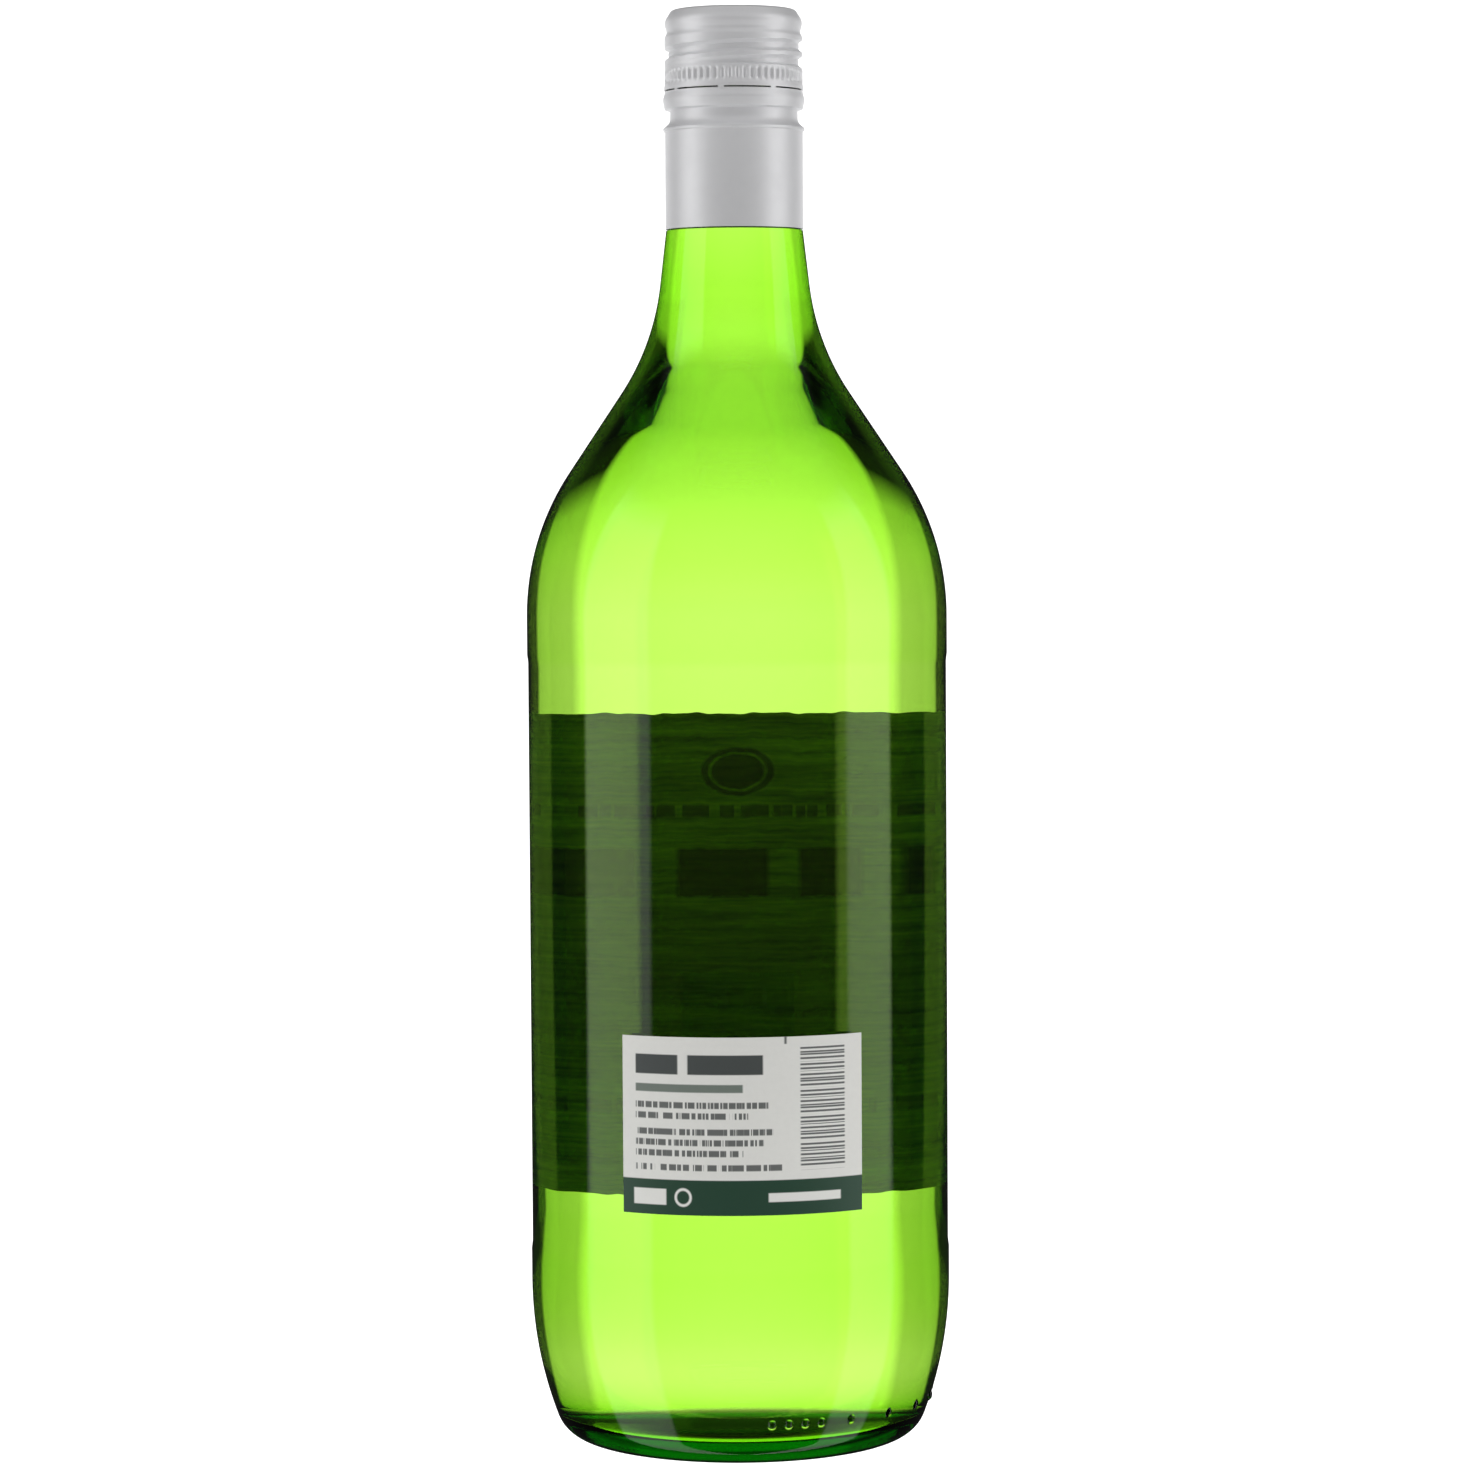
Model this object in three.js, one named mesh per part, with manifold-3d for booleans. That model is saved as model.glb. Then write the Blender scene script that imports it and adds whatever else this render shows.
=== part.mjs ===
// One-litre wine bottle in clear green glass, filled with white wine, with an aluminium long-skirt
// screw cap, a deckle-edged front label and a small back label.
// Millimetres, +Z up, origin at the centre of the base. The back label faces -Y, the front label +Y.
// Azimuths are in degrees round +Z, from -Y towards +X.
import * as THREE from 'three';
import { mergeVertices } from 'three/addons/utils/BufferGeometryUtils.js';
import Module from 'manifold-3d';

const wasm = await Module();
wasm.setup();

// Body and shoulder
const BODY_RADIUS = 43.4;
const SHOULDER_START = 170.45;
const SHOULDER_RADIUS = 53.2;
const SLOPE_ANGLE = 33.74;
const SLOPE_LENGTH = 19.55;
const NECK_BEND_RADIUS = 50.53;
const NECK_ANGLE = 6.72;
const LABEL_PANEL = { low: 41, high: 161, recess: 0.2, ramp: 1.2 };

// Heel and base
const HEEL_END = 33.15;
const HEEL_RADIUS = 80.38;
const HEEL_ANGLE = 20.68;
const CORNER_RADIUS = 7.36;
const BEARING_RADIUS = 28.6;
const PUNT_HEIGHT = 4.6;

// Glass thickness and the inside of the base
const WALL = { heel: 3.5, body: 2.6, neck: 4 };
const FLOOR_TOP = 9.2;
const FLOOR_VALLEY = { radius: 30.5, z: 5.4 };
const INNER_HEEL_TOP = 24;

// Neck finish, hidden under the cap
const NECK_END = 249.6;
const COLLAR_RADIUS = 13.6;
const COLLAR_END = 268.5;
const FINISH_RADIUS = 12.2;
const FINISH_START = 270.4;
const MOUTH_TOP = 294.1;
const MOUTH_RADIUS = 9.5;
const BORE_START = 262;
const BORE_RADIUS = 9.9;
const LIP_ROUNDING = 1.1;

// Raised mould dots round the heel
const DOTS = { z: 9.2, pitch: 5, first: 8.9, slots: 26, width: 2, height: 2.8, relief: 0.55 };

// Wine, with its level out of sight under the cap
const WINE_LEVEL = 256;
const WINE_GAP = 0.3;

// Aluminium cap
const CAP_BOTTOM = 249.9;
const CAP_TOP = 294.75;
const CAP_WALL = 0.3;
const SKIRT = { radius: 14.2, top: 269.6 };
const LIP_BEAD = { z: 270.3, radius: 14.6 };
const UNDERCUT = { low: 271.9, high: 274, radius: 13.15 };
const TAMPER_BEAD = { low: 274.5, z: 276.3, radius: 14.6, rim: 14.3 };
const SLITS = { z: 278.2, height: 0.3, count: 8, bridge: 4.2, firstBridge: -10.6 };
const KNURL = { low: 279.5, high: 282.5, radius: 14.2, depth: 0.4, count: 60 };
const THREAD = {
  low: 283.1, high: 289.1, rows: 12, radius: 14.2, lining: 12.6,
  depth: 1.05, halfWidth: 1.05, lead: 3.28, frontHeight: 286.46, start: -430, end: 170, fade: 85,
};
const TOP_GROOVE = { z: 290.2, radius: 13.75 };
const TOP_BEAD = { z: 291.9, radius: 14.15 };
const TOP_EDGE = { z: 293.7, radius: 13.25, rounding: 1.05 };

// Paper labels
const PAPER = { gap: 0.03, thickness: 0.12 };
const FRONT_LABEL = { centre: 180, width: 150, low: 45.2, high: 151.2, columns: 60, deckle: 0.3 };
const BACK_LABEL = { centre: 0.85, width: 67.1, low: 51.96, high: 87.66, columns: 18, tilt: 0.1 };

const ROUND_SEGMENTS = 48;

const radians = THREE.MathUtils.degToRad;
const point = (radius, z) => new THREE.Vector2(radius, z);

// Points on a circle of the outline, from one angle to another, in degrees above the horizontal.
// The radius may change evenly along the arc, to another one at its end.
function arc(centre, radius, from, to, steps, endRadius = radius) {
  return Array.from({ length: steps + 1 }, (_, i) => {
    const angle = radians(from + (to - from) * i / steps);
    const reach = radius + (endRadius - radius) * i / steps;
    return point(centre.x + reach * Math.cos(angle), centre.y + reach * Math.sin(angle));
  });
}

// Shallow dome from its rim to the axis
function dome(rimRadius, rimHeight, topHeight, steps) {
  const rise = topHeight - rimHeight;
  const radius = (rimRadius ** 2 + rise ** 2) / (2 * rise);
  const rimAngle = THREE.MathUtils.radToDeg(Math.acos(rimRadius / radius));
  return arc(point(0, topHeight - radius), radius, rimAngle, 90, steps);
}

// Shoulder, slope and neck, set in from the outside of the glass by one distance where the shoulder
// starts and another from the slope upwards
function shoulderOutline(insetBelow, insetAbove, steps) {
  const slope = radians(SLOPE_ANGLE);
  const shoulderCentre = point(BODY_RADIUS - SHOULDER_RADIUS, SHOULDER_START);
  const shoulder = arc(shoulderCentre, SHOULDER_RADIUS - insetBelow, 0, SLOPE_ANGLE, steps,
    SHOULDER_RADIUS - insetAbove);
  const outside = SHOULDER_RADIUS + NECK_BEND_RADIUS;
  const bendCentre = point(
    shoulderCentre.x + outside * Math.cos(slope) - SLOPE_LENGTH * Math.sin(slope),
    shoulderCentre.y + outside * Math.sin(slope) + SLOPE_LENGTH * Math.cos(slope),
  );
  const bendRadius = NECK_BEND_RADIUS + insetAbove;
  const bend = arc(bendCentre, bendRadius, 180 + SLOPE_ANGLE, 180 + NECK_ANGLE, steps);
  return [...shoulder, ...bend];
}

// Outside of the glass, from the middle of the punt up to the mouth
function outerOutline() {
  const heelCentre = point(BODY_RADIUS - HEEL_RADIUS, HEEL_END);
  const heelStart = HEEL_RADIUS * Math.cos(radians(HEEL_ANGLE));
  const cornerRadius = heelCentre.x + heelStart - CORNER_RADIUS * Math.cos(radians(HEEL_ANGLE));
  const panelRadius = BODY_RADIUS - LABEL_PANEL.recess;
  const shoulder = shoulderOutline(0, 0, 5);
  const neckStart = shoulder.at(-1);
  const neckRadius = neckStart.x - (NECK_END - neckStart.y) * Math.tan(radians(NECK_ANGLE));
  return [
    ...dome(BEARING_RADIUS, 0, PUNT_HEIGHT, 3).reverse(),
    ...arc(point(cornerRadius, CORNER_RADIUS), CORNER_RADIUS, -90, -HEEL_ANGLE, 3),
    ...arc(heelCentre, HEEL_RADIUS, -HEEL_ANGLE, 0, 4).slice(1),
    point(BODY_RADIUS, LABEL_PANEL.low - LABEL_PANEL.ramp),
    point(panelRadius, LABEL_PANEL.low),
    point(panelRadius, LABEL_PANEL.high),
    point(BODY_RADIUS, LABEL_PANEL.high + LABEL_PANEL.ramp),
    ...shoulder,
    point(neckRadius, NECK_END),
    point(COLLAR_RADIUS, NECK_END),
    point(COLLAR_RADIUS, COLLAR_END),
    point(FINISH_RADIUS, FINISH_START),
    ...arc(point(FINISH_RADIUS - LIP_ROUNDING, MOUTH_TOP - LIP_ROUNDING), LIP_ROUNDING, 0, 90, 2),
  ];
}

// Inside of the glass, from the axis up to the bore, set in further by a gap for the wine
function innerOutline(gap) {
  const heelWidth = BODY_RADIUS - WALL.heel - gap - FLOOR_VALLEY.radius;
  const heelHeight = INNER_HEEL_TOP - FLOOR_VALLEY.z - gap;
  const heel = Array.from({ length: 5 }, (_, i) => {
    const angle = radians(90 * (i + 1) / 5);
    return point(FLOOR_VALLEY.radius + heelWidth * Math.sin(angle),
      INNER_HEEL_TOP - heelHeight * Math.cos(angle));
  });
  return [
    ...dome(FLOOR_VALLEY.radius, FLOOR_VALLEY.z + gap, FLOOR_TOP + gap, 3).reverse(),
    ...heel,
    ...shoulderOutline(WALL.body + gap, WALL.neck + gap, 5),
  ];
}

// Solid of revolution about +Z. The outline starts and ends on the axis, or closes on itself.
function revolve(outline) {
  return new THREE.LatheGeometry(outline, ROUND_SEGMENTS).rotateX(Math.PI / 2);
}

// Closed solid with its shared vertices merged and its collapsed triangles dropped
function toSolid(geometry) {
  const bare = geometry.clone();
  bare.deleteAttribute('normal');
  bare.deleteAttribute('uv');
  const merged = mergeVertices(bare);
  const triVerts = [];
  for (let i = 0; i < merged.index.count; i += 3) {
    const corners = [0, 1, 2].map((k) => merged.index.getX(i + k));
    if (new Set(corners).size === 3) triVerts.push(...corners);
  }
  return new wasm.Manifold(new wasm.Mesh({
    numProp: 3,
    vertProperties: merged.attributes.position.array,
    triVerts: Uint32Array.from(triVerts),
  }));
}

function toGeometry(solid) {
  const mesh = solid.getMesh();
  const geometry = new THREE.BufferGeometry();
  geometry.setAttribute('position', new THREE.BufferAttribute(mesh.vertProperties, 3));
  geometry.setIndex(Array.from(mesh.triVerts));
  geometry.computeVertexNormals();
  return geometry;
}

// Places a piece that stands upright at an azimuth, its back towards the axis
function placeRound(geometry, radius, azimuth, z) {
  return geometry.translate(0, -radius, z).rotateZ(radians(azimuth));
}

// Glass shell with its mouth open, and the row of low dots fused to the heel
function glassGeometry() {
  let glass = toSolid(revolve([
    ...outerOutline(),
    point(MOUTH_RADIUS, MOUTH_TOP - 0.5),
    point(BORE_RADIUS, BORE_START),
    ...innerOutline(0).reverse(),
  ]));
  const heelDrop = HEEL_END - DOTS.z;
  const heelRadius = BODY_RADIUS - HEEL_RADIUS + Math.sqrt(HEEL_RADIUS ** 2 - heelDrop ** 2);
  for (let slot = 0; slot < DOTS.slots; slot++) {
    const raised = slot < 4 || slot % 3 === 2;
    if (raised) {
      const dot = new THREE.OctahedronGeometry(1);
      dot.scale(DOTS.width / 2, 2 * DOTS.relief, DOTS.height / 2);
      placeRound(dot, heelRadius - DOTS.relief, DOTS.first + slot * DOTS.pitch, DOTS.z);
      glass = glass.add(toSolid(dot));
    }
  }
  return toGeometry(glass);
}

function wineGeometry() {
  const outline = innerOutline(WINE_GAP);
  const neckStart = outline.at(-1);
  const taper = (neckStart.x - BORE_RADIUS + WINE_GAP) / (BORE_START - neckStart.y);
  const levelRadius = neckStart.x - taper * (WINE_LEVEL - neckStart.y);
  return revolve([...outline, point(levelRadius, WINE_LEVEL), point(0, WINE_LEVEL)]);
}

// Outside of the cap, from the skirt's lower edge up to the middle of the top
function capOuterOutline() {
  const threadRows = Array.from({ length: THREAD.rows + 1 }, (_, i) =>
    point(THREAD.radius, THREAD.low + (THREAD.high - THREAD.low) * i / THREAD.rows));
  const edgeCentre = point(TOP_EDGE.radius - TOP_EDGE.rounding, CAP_TOP - TOP_EDGE.rounding);
  return [
    point(SKIRT.radius, CAP_BOTTOM),
    point(SKIRT.radius, SKIRT.top),
    point(LIP_BEAD.radius, LIP_BEAD.z),
    point(LIP_BEAD.radius - 0.9, LIP_BEAD.z + 0.9),
    point(UNDERCUT.radius, UNDERCUT.low + 0.5),
    point(UNDERCUT.radius, UNDERCUT.high),
    point(TAMPER_BEAD.rim, TAMPER_BEAD.low),
    point(TAMPER_BEAD.radius, TAMPER_BEAD.z),
    point(KNURL.radius, SLITS.z - 0.6),
    point(KNURL.radius + 0.15, SLITS.z + 0.6),
    point(KNURL.radius, KNURL.low),
    point(KNURL.radius, KNURL.high),
    ...threadRows,
    point(TOP_GROOVE.radius, TOP_GROOVE.z),
    point(TOP_BEAD.radius, TOP_BEAD.z),
    point(TOP_EDGE.radius, TOP_EDGE.z),
    ...arc(edgeCentre, TOP_EDGE.rounding, 30, 90, 2),
    point(0, CAP_TOP),
  ];
}

// Inside of the cap, from the middle of the top down to the skirt's lower edge
function capInnerOutline() {
  const skirtInside = SKIRT.radius - CAP_WALL;
  const knurlInside = KNURL.radius - KNURL.depth - CAP_WALL;
  const undercutInside = UNDERCUT.radius - CAP_WALL;
  return [
    point(0, CAP_TOP - CAP_WALL),
    point(THREAD.lining - 0.5, CAP_TOP - CAP_WALL),
    point(THREAD.lining, TOP_EDGE.z),
    point(THREAD.lining, THREAD.low),
    point(knurlInside, KNURL.high - CAP_WALL),
    point(knurlInside, KNURL.low),
    point(skirtInside, SLITS.z + 0.6),
    point(skirtInside, TAMPER_BEAD.low + CAP_WALL),
    point(undercutInside, UNDERCUT.high - CAP_WALL),
    point(undercutInside, UNDERCUT.low + CAP_WALL),
    point(skirtInside, SKIRT.top - CAP_WALL),
    point(skirtInside, CAP_BOTTOM),
  ];
}

// Depth of the rolled thread at a place on the cap, fading out at both ends of its helix
function threadDepth(azimuth, z) {
  const turns = [-2, -1, 0, 1];
  const depths = turns.map((turn) => {
    const along = azimuth + 360 * turn;
    const inward = Math.min(along - THREAD.start, THREAD.end - along) / THREAD.fade;
    const offset = (z - THREAD.frontHeight - THREAD.lead * along / 360) / THREAD.halfWidth;
    return THREAD.depth * THREE.MathUtils.clamp(inward, 0, 1) * Math.max(0, 1 - offset ** 2);
  });
  return Math.max(...depths);
}

function rollThread(geometry) {
  const position = geometry.attributes.position;
  const place = new THREE.Vector3();
  for (let i = 0; i < position.count; i++) {
    place.fromBufferAttribute(position, i);
    const radius = Math.hypot(place.x, place.y);
    const onThread = place.z > THREAD.low - 0.1 && place.z < THREAD.high + 0.1;
    if (onThread && radius > THREAD.lining + CAP_WALL) {
      const azimuth = THREE.MathUtils.radToDeg(Math.atan2(place.x, -place.y));
      const pressed = (radius - threadDepth(azimuth, place.z)) / radius;
      position.setXYZ(i, place.x * pressed, place.y * pressed, place.z);
    }
  }
  return geometry;
}

// Upright V groove of the knurl
function knurlGroove(azimuth) {
  const groove = new THREE.CylinderGeometry(KNURL.depth, KNURL.depth, KNURL.high - KNURL.low - 0.6, 4);
  groove.rotateX(Math.PI / 2);
  return placeRound(groove, KNURL.radius, azimuth, (KNURL.high + KNURL.low) / 2);
}

// Ring sector that opens one slit of the tamper band, between two bridges
function slitSector(azimuth) {
  const inside = KNURL.radius - 2;
  const outside = KNURL.radius + 2;
  const half = radians((360 / SLITS.count - SLITS.bridge) / 2);
  const sector = new THREE.Shape();
  sector.absarc(0, 0, outside, -Math.PI / 2 - half, -Math.PI / 2 + half, false);
  sector.absarc(0, 0, inside, -Math.PI / 2 + half, -Math.PI / 2 - half, true);
  sector.closePath();
  const cut = new THREE.ExtrudeGeometry(sector, {
    depth: SLITS.height, bevelEnabled: false, curveSegments: 6,
  });
  return cut.translate(0, 0, SLITS.z - SLITS.height / 2).rotateZ(radians(azimuth));
}

// One aluminium shell: the cap above the slits and the skirt below hang together by the bridges
function capGeometry() {
  let cap = toSolid(rollThread(revolve([
    ...capOuterOutline(), ...capInnerOutline(), point(SKIRT.radius, CAP_BOTTOM),
  ])));
  for (let i = 0; i < KNURL.count; i++) {
    cap = cap.subtract(toSolid(knurlGroove(360 * (i + 0.5) / KNURL.count)));
  }
  const slitPitch = 360 / SLITS.count;
  for (let i = 0; i < SLITS.count; i++) {
    cap = cap.subtract(toSolid(slitSector(SLITS.firstBridge + slitPitch * (i + 0.5))));
  }
  return toGeometry(cap);
}

// Torn-looking edge of hand-made paper
function deckleEdge(azimuth, phase) {
  const along = radians(azimuth);
  const long = Math.sin(31 * along + phase);
  const short = Math.sin(83 * along + 2.1 * phase);
  const fine = Math.sin(137 * along + 3.7 * phase);
  return (0.45 * long + 0.35 * short + 0.2 * fine) * FRONT_LABEL.deckle;
}

// Sheet of paper wrapped round the label panel. edge(side, azimuth) gives its lower or upper edge.
function wrapLabel(label, edge) {
  const sheet = new THREE.BoxGeometry(label.width, 1, 2, label.columns, 1, 1);
  const inside = BODY_RADIUS - LABEL_PANEL.recess + PAPER.gap;
  const position = sheet.attributes.position;
  for (let i = 0; i < position.count; i++) {
    const azimuth = label.centre + position.getX(i);
    const radius = inside + (0.5 - position.getY(i)) * PAPER.thickness;
    const angle = radians(azimuth);
    position.setXYZ(i, radius * Math.sin(angle), -radius * Math.cos(angle),
      edge(position.getZ(i), azimuth));
  }
  return toGeometry(toSolid(sheet));
}

function frontLabelGeometry() {
  return wrapLabel(FRONT_LABEL, (side, azimuth) => {
    if (side > 0) return FRONT_LABEL.high + deckleEdge(azimuth, 1);
    return FRONT_LABEL.low + deckleEdge(azimuth, 5);
  });
}

function backLabelGeometry() {
  const rise = Math.tan(radians(BACK_LABEL.tilt)) * BODY_RADIUS;
  return wrapLabel(BACK_LABEL, (side, azimuth) => {
    const level = side > 0 ? BACK_LABEL.high : BACK_LABEL.low;
    return level + rise * radians(azimuth - BACK_LABEL.centre);
  });
}

const greenGlass = new THREE.MeshStandardMaterial({
  color: 0x9fd43c, roughness: 0.05, metalness: 0, transparent: true, opacity: 0.4,
});
const whiteWine = new THREE.MeshStandardMaterial({
  color: 0xe8e6a0, roughness: 0.05, metalness: 0, transparent: true, opacity: 0.5,
});
const paintedAluminium = new THREE.MeshStandardMaterial({
  color: 0xc4c5c6, roughness: 0.38, metalness: 0.55,
});
const darkPrintedPaper = new THREE.MeshStandardMaterial({ color: 0x1c4a3c, roughness: 0.8, metalness: 0 });
const whitePaper = new THREE.MeshStandardMaterial({ color: 0xd6d6cf, roughness: 0.75, metalness: 0 });

function named(name, geometry, material) {
  const mesh = new THREE.Mesh(geometry, material);
  mesh.name = name;
  return mesh;
}

const bottle = new THREE.Group();
bottle.add(
  named('glass_bottle', glassGeometry(), greenGlass),
  named('wine', wineGeometry(), whiteWine),
  named('screw_cap', capGeometry(), paintedAluminium),
  named('front_label', frontLabelGeometry(), darkPrintedPaper),
  named('back_label', backLabelGeometry(), whitePaper),
);

export default bottle;
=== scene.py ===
# %% [markdown]
# A one-litre wine bottle seen from its back label side. The solids of the bottle are already made and
# packed, so this notebook only dresses them: clear green glass full of pale wine, a lacquered aluminium
# screw cap and two paper labels. Everything is in metres, with +Z up and the bottle standing on Z = 0.

# %% Load the fixed frame
import math

import bpy
from mathutils import Matrix, Vector


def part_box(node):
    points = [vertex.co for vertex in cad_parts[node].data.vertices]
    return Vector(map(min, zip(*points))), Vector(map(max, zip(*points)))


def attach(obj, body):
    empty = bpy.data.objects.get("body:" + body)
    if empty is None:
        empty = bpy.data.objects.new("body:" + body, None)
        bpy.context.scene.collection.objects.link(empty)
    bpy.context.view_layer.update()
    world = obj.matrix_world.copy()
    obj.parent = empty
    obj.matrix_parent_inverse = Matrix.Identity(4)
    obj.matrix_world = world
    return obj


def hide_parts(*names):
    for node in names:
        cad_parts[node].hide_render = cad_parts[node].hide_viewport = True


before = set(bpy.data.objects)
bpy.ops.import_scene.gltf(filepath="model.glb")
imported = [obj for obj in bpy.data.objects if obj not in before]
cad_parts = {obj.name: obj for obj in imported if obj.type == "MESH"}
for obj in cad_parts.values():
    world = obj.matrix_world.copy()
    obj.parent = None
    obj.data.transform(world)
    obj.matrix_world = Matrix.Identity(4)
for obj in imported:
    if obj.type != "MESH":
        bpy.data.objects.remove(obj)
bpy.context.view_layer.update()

MM = 0.001
print("solids:", sorted(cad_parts))

# %% [markdown]
# The photograph looks along +Y from a little over a metre away, slightly downwards, through a long
# lens, and its frame leans by a third of a degree. A camera with those angles is made first, because
# every later look at the model goes through it.

# %% Camera
CAMERA_PLACE = Vector((-0.0001, -1.0059, 0.1986))
CAMERA_PITCH = 0.0530
CAMERA_ROLL = -0.0059
LENS_MM = 118.79

camera_data = bpy.data.cameras.new("camera")
camera_data.lens = LENS_MM
camera_data.sensor_width = 36
camera = bpy.data.objects.new("camera", camera_data)
bpy.context.scene.collection.objects.link(camera)
aim = Matrix.Rotation(math.pi / 2 - CAMERA_PITCH, 4, "X") @ Matrix.Rotation(CAMERA_ROLL, 4, "Z")
camera.matrix_world = Matrix.Translation(CAMERA_PLACE) @ aim
bpy.context.scene.camera = camera
bpy.context.scene.view_settings.view_transform = "Standard"
print("camera looks", tuple(round(x, 3) for x in (aim @ Vector((0, 0, -1)))))

# %% [markdown]
# Every material below is a small formula. Wiring its Math nodes by hand is slow to read, so a socket
# is wrapped in a class whose operators add the nodes: `1 - mask` then reads as it would on paper. One
# method makes any other node from its type, its settings and its inputs.


# %% Shader maths
class Value:
    """A socket of a node tree whose operators add Math nodes."""

    def __init__(self, tree, socket):
        self.tree = tree
        self.socket = socket

    def node(self, kind, settings=None, output=0, **inputs):
        made = self.tree.nodes.new(kind)
        for name, setting in (settings or {}).items():
            setattr(made, name, setting)
        for name, value in inputs.items():
            key = int(name[1:]) if name[0] == "i" and name[1:].isdigit() else name.replace("_", " ")
            socket = made.inputs[key]
            if isinstance(value, Value):
                self.tree.links.new(value.socket, socket)
            else:
                socket.default_value = value
        return Value(self.tree, made.outputs[output])

    def math(self, operation, *others, clamp=False):
        values = {f"i{i}": value for i, value in enumerate((self, *others))}
        return self.node("ShaderNodeMath", {"operation": operation, "use_clamp": clamp}, **values)

    def __add__(self, other):
        return self.math("ADD", other)

    def __radd__(self, other):
        return self.math("ADD", other)

    def __sub__(self, other):
        return self.math("SUBTRACT", other)

    def __rsub__(self, other):
        return (self * -1).math("ADD", other)

    def __mul__(self, other):
        return self.math("MULTIPLY", other)

    def __truediv__(self, other):
        return self.math("DIVIDE", other)

    def over(self, edge, soft):
        """0 below an edge and 1 above it, with a soft step of that width."""
        return ((self - edge) / soft + 0.5).math("MULTIPLY", 1.0, clamp=True)

    def between(self, low, high, soft):
        return self.over(low, soft) * (1 - self.over(high, soft))

    def mix(self, start, end):
        """Colour that goes from start to end as this value goes from 0 to 1."""
        made = self.tree.nodes.new("ShaderNodeMix")
        made.data_type = "RGBA"
        self.tree.links.new(self.socket, made.inputs["Factor"])
        for name, colour in (("A", start), ("B", end)):
            socket = next(s for s in made.inputs if s.name == name and s.type == "RGBA")
            if isinstance(colour, Value):
                self.tree.links.new(colour.socket, socket)
            else:
                socket.default_value = (*colour, 1)
        return Value(self.tree, next(s for s in made.outputs if s.type == "RGBA"))

    def part(self, name):
        """One output of the node that this value comes from."""
        return Value(self.tree, self.socket.node.outputs[name])


def start_tree(owner):
    """Empties a material's or a world's node tree and returns a value to start from."""
    owner.use_nodes = True
    owner.node_tree.nodes.clear()
    return Value(owner.node_tree, None)


def start_material(name):
    material = bpy.data.materials.new(name)
    return material, start_tree(material)


def distance_from_axis(start):
    """Distance to the bottle's axis, in metres."""
    place = start.node("ShaderNodeTexCoord", output="Object")
    split = start.node("ShaderNodeSeparateXYZ", i0=place)
    x, y = split.part("X"), split.part("Y")
    return (x * x + y * y).math("SQRT")


def close_material(start, surface, volume=None):
    end = start.tree.nodes.new("ShaderNodeOutputMaterial")
    start.tree.links.new(surface.socket, end.inputs["Surface"])
    if volume:
        start.tree.links.new(volume.socket, end.inputs["Volume"])


# %% [markdown]
# The bottle is a body of revolution, so its glass, wine and cap can be spun from an outline. The
# outline starts as a plane primitive that is cut down to one corner, and each next point is an
# extrusion of the last, as when drawing it by hand. Spinning that wire by a full turn and merging the
# seam gives a closed skin. Subdividing a coarse shape would be quicker, but would not keep the true
# arcs of the shoulder and heel.

# %% Outline and spin helpers
SPIN_STEPS = 180
SEAM_GAP = 0.002
SHARP_ANGLE = 38


def deselect_all():
    if bpy.context.object and bpy.context.object.mode != "OBJECT":
        bpy.ops.object.mode_set(mode="OBJECT")
    bpy.ops.object.select_all(action="DESELECT")


def make_active(piece):
    deselect_all()
    piece.select_set(True)
    bpy.context.view_layer.objects.active = piece


def draw_outline(name, points):
    """Draws an outline in the XZ plane: one corner of a plane, extruded from point to point."""
    deselect_all()
    bpy.ops.mesh.primitive_plane_add(size=MM)
    piece = bpy.context.object
    piece.name = piece.data.name = name
    bpy.ops.object.mode_set(mode="EDIT")
    bpy.ops.mesh.merge(type="CENTER")
    first = Vector((points[0][0], 0, points[0][1]))
    bpy.ops.transform.translate(value=first)
    for before, after in zip(points[:-1], points[1:]):
        step = Vector((after[0] - before[0], 0, after[1] - before[1]))
        bpy.ops.mesh.extrude_region_move(TRANSFORM_OT_translate={"value": step})
    return piece


def spin_outline(name, points, steps=SPIN_STEPS):
    """Spins an outline about +Z into a closed skin that faces outwards."""
    piece = draw_outline(name, [(r * MM, z * MM) for r, z in points])
    bpy.ops.mesh.select_all(action="SELECT")
    bpy.ops.mesh.spin(steps=steps, angle=math.tau, center=(0, 0, 0), axis=(0, 0, 1))
    bpy.ops.mesh.select_all(action="SELECT")
    bpy.ops.mesh.remove_doubles(threshold=SEAM_GAP * MM)
    bpy.ops.mesh.normals_make_consistent(inside=False)
    bpy.ops.object.mode_set(mode="OBJECT")
    return piece


def finish_piece(piece, material, node):
    """Smooth shading, a material and the piece's place in the frame."""
    make_active(piece)
    bpy.ops.object.transform_apply(location=True, rotation=True, scale=True)
    bpy.ops.object.shade_smooth_by_angle(angle=math.radians(SHARP_ANGLE))
    piece.data.materials.clear()
    piece.data.materials.append(material)
    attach(piece, "root")
    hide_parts(node)
    print(piece.name, len(piece.data.polygons), "faces")
    deselect_all()


def arc(centre, radius, start, end, steps, end_radius=None):
    """Points on a circle, in degrees above the horizontal; the radius may change evenly on the way."""
    end_radius = radius if end_radius is None else end_radius
    points = []
    for i in range(steps + 1):
        share = i / steps
        angle = math.radians(start + (end - start) * share)
        reach = radius + (end_radius - radius) * share
        points.append((centre[0] + reach * math.cos(angle), centre[1] + reach * math.sin(angle)))
    return points


# %% [markdown]
# The outline of the glass has few parts: a flat ring to stand on, a tight corner, a long heel arc, the
# straight body with a panel set back for the labels, a shoulder arc, a straight slope, a bend into the
# neck and a slightly tapered neck. Their sizes repeat those of the solid, in millimetres, but for a
# slightly longer ramp into the panel, and the inside is the same set of arcs moved in by the wall.

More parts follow.
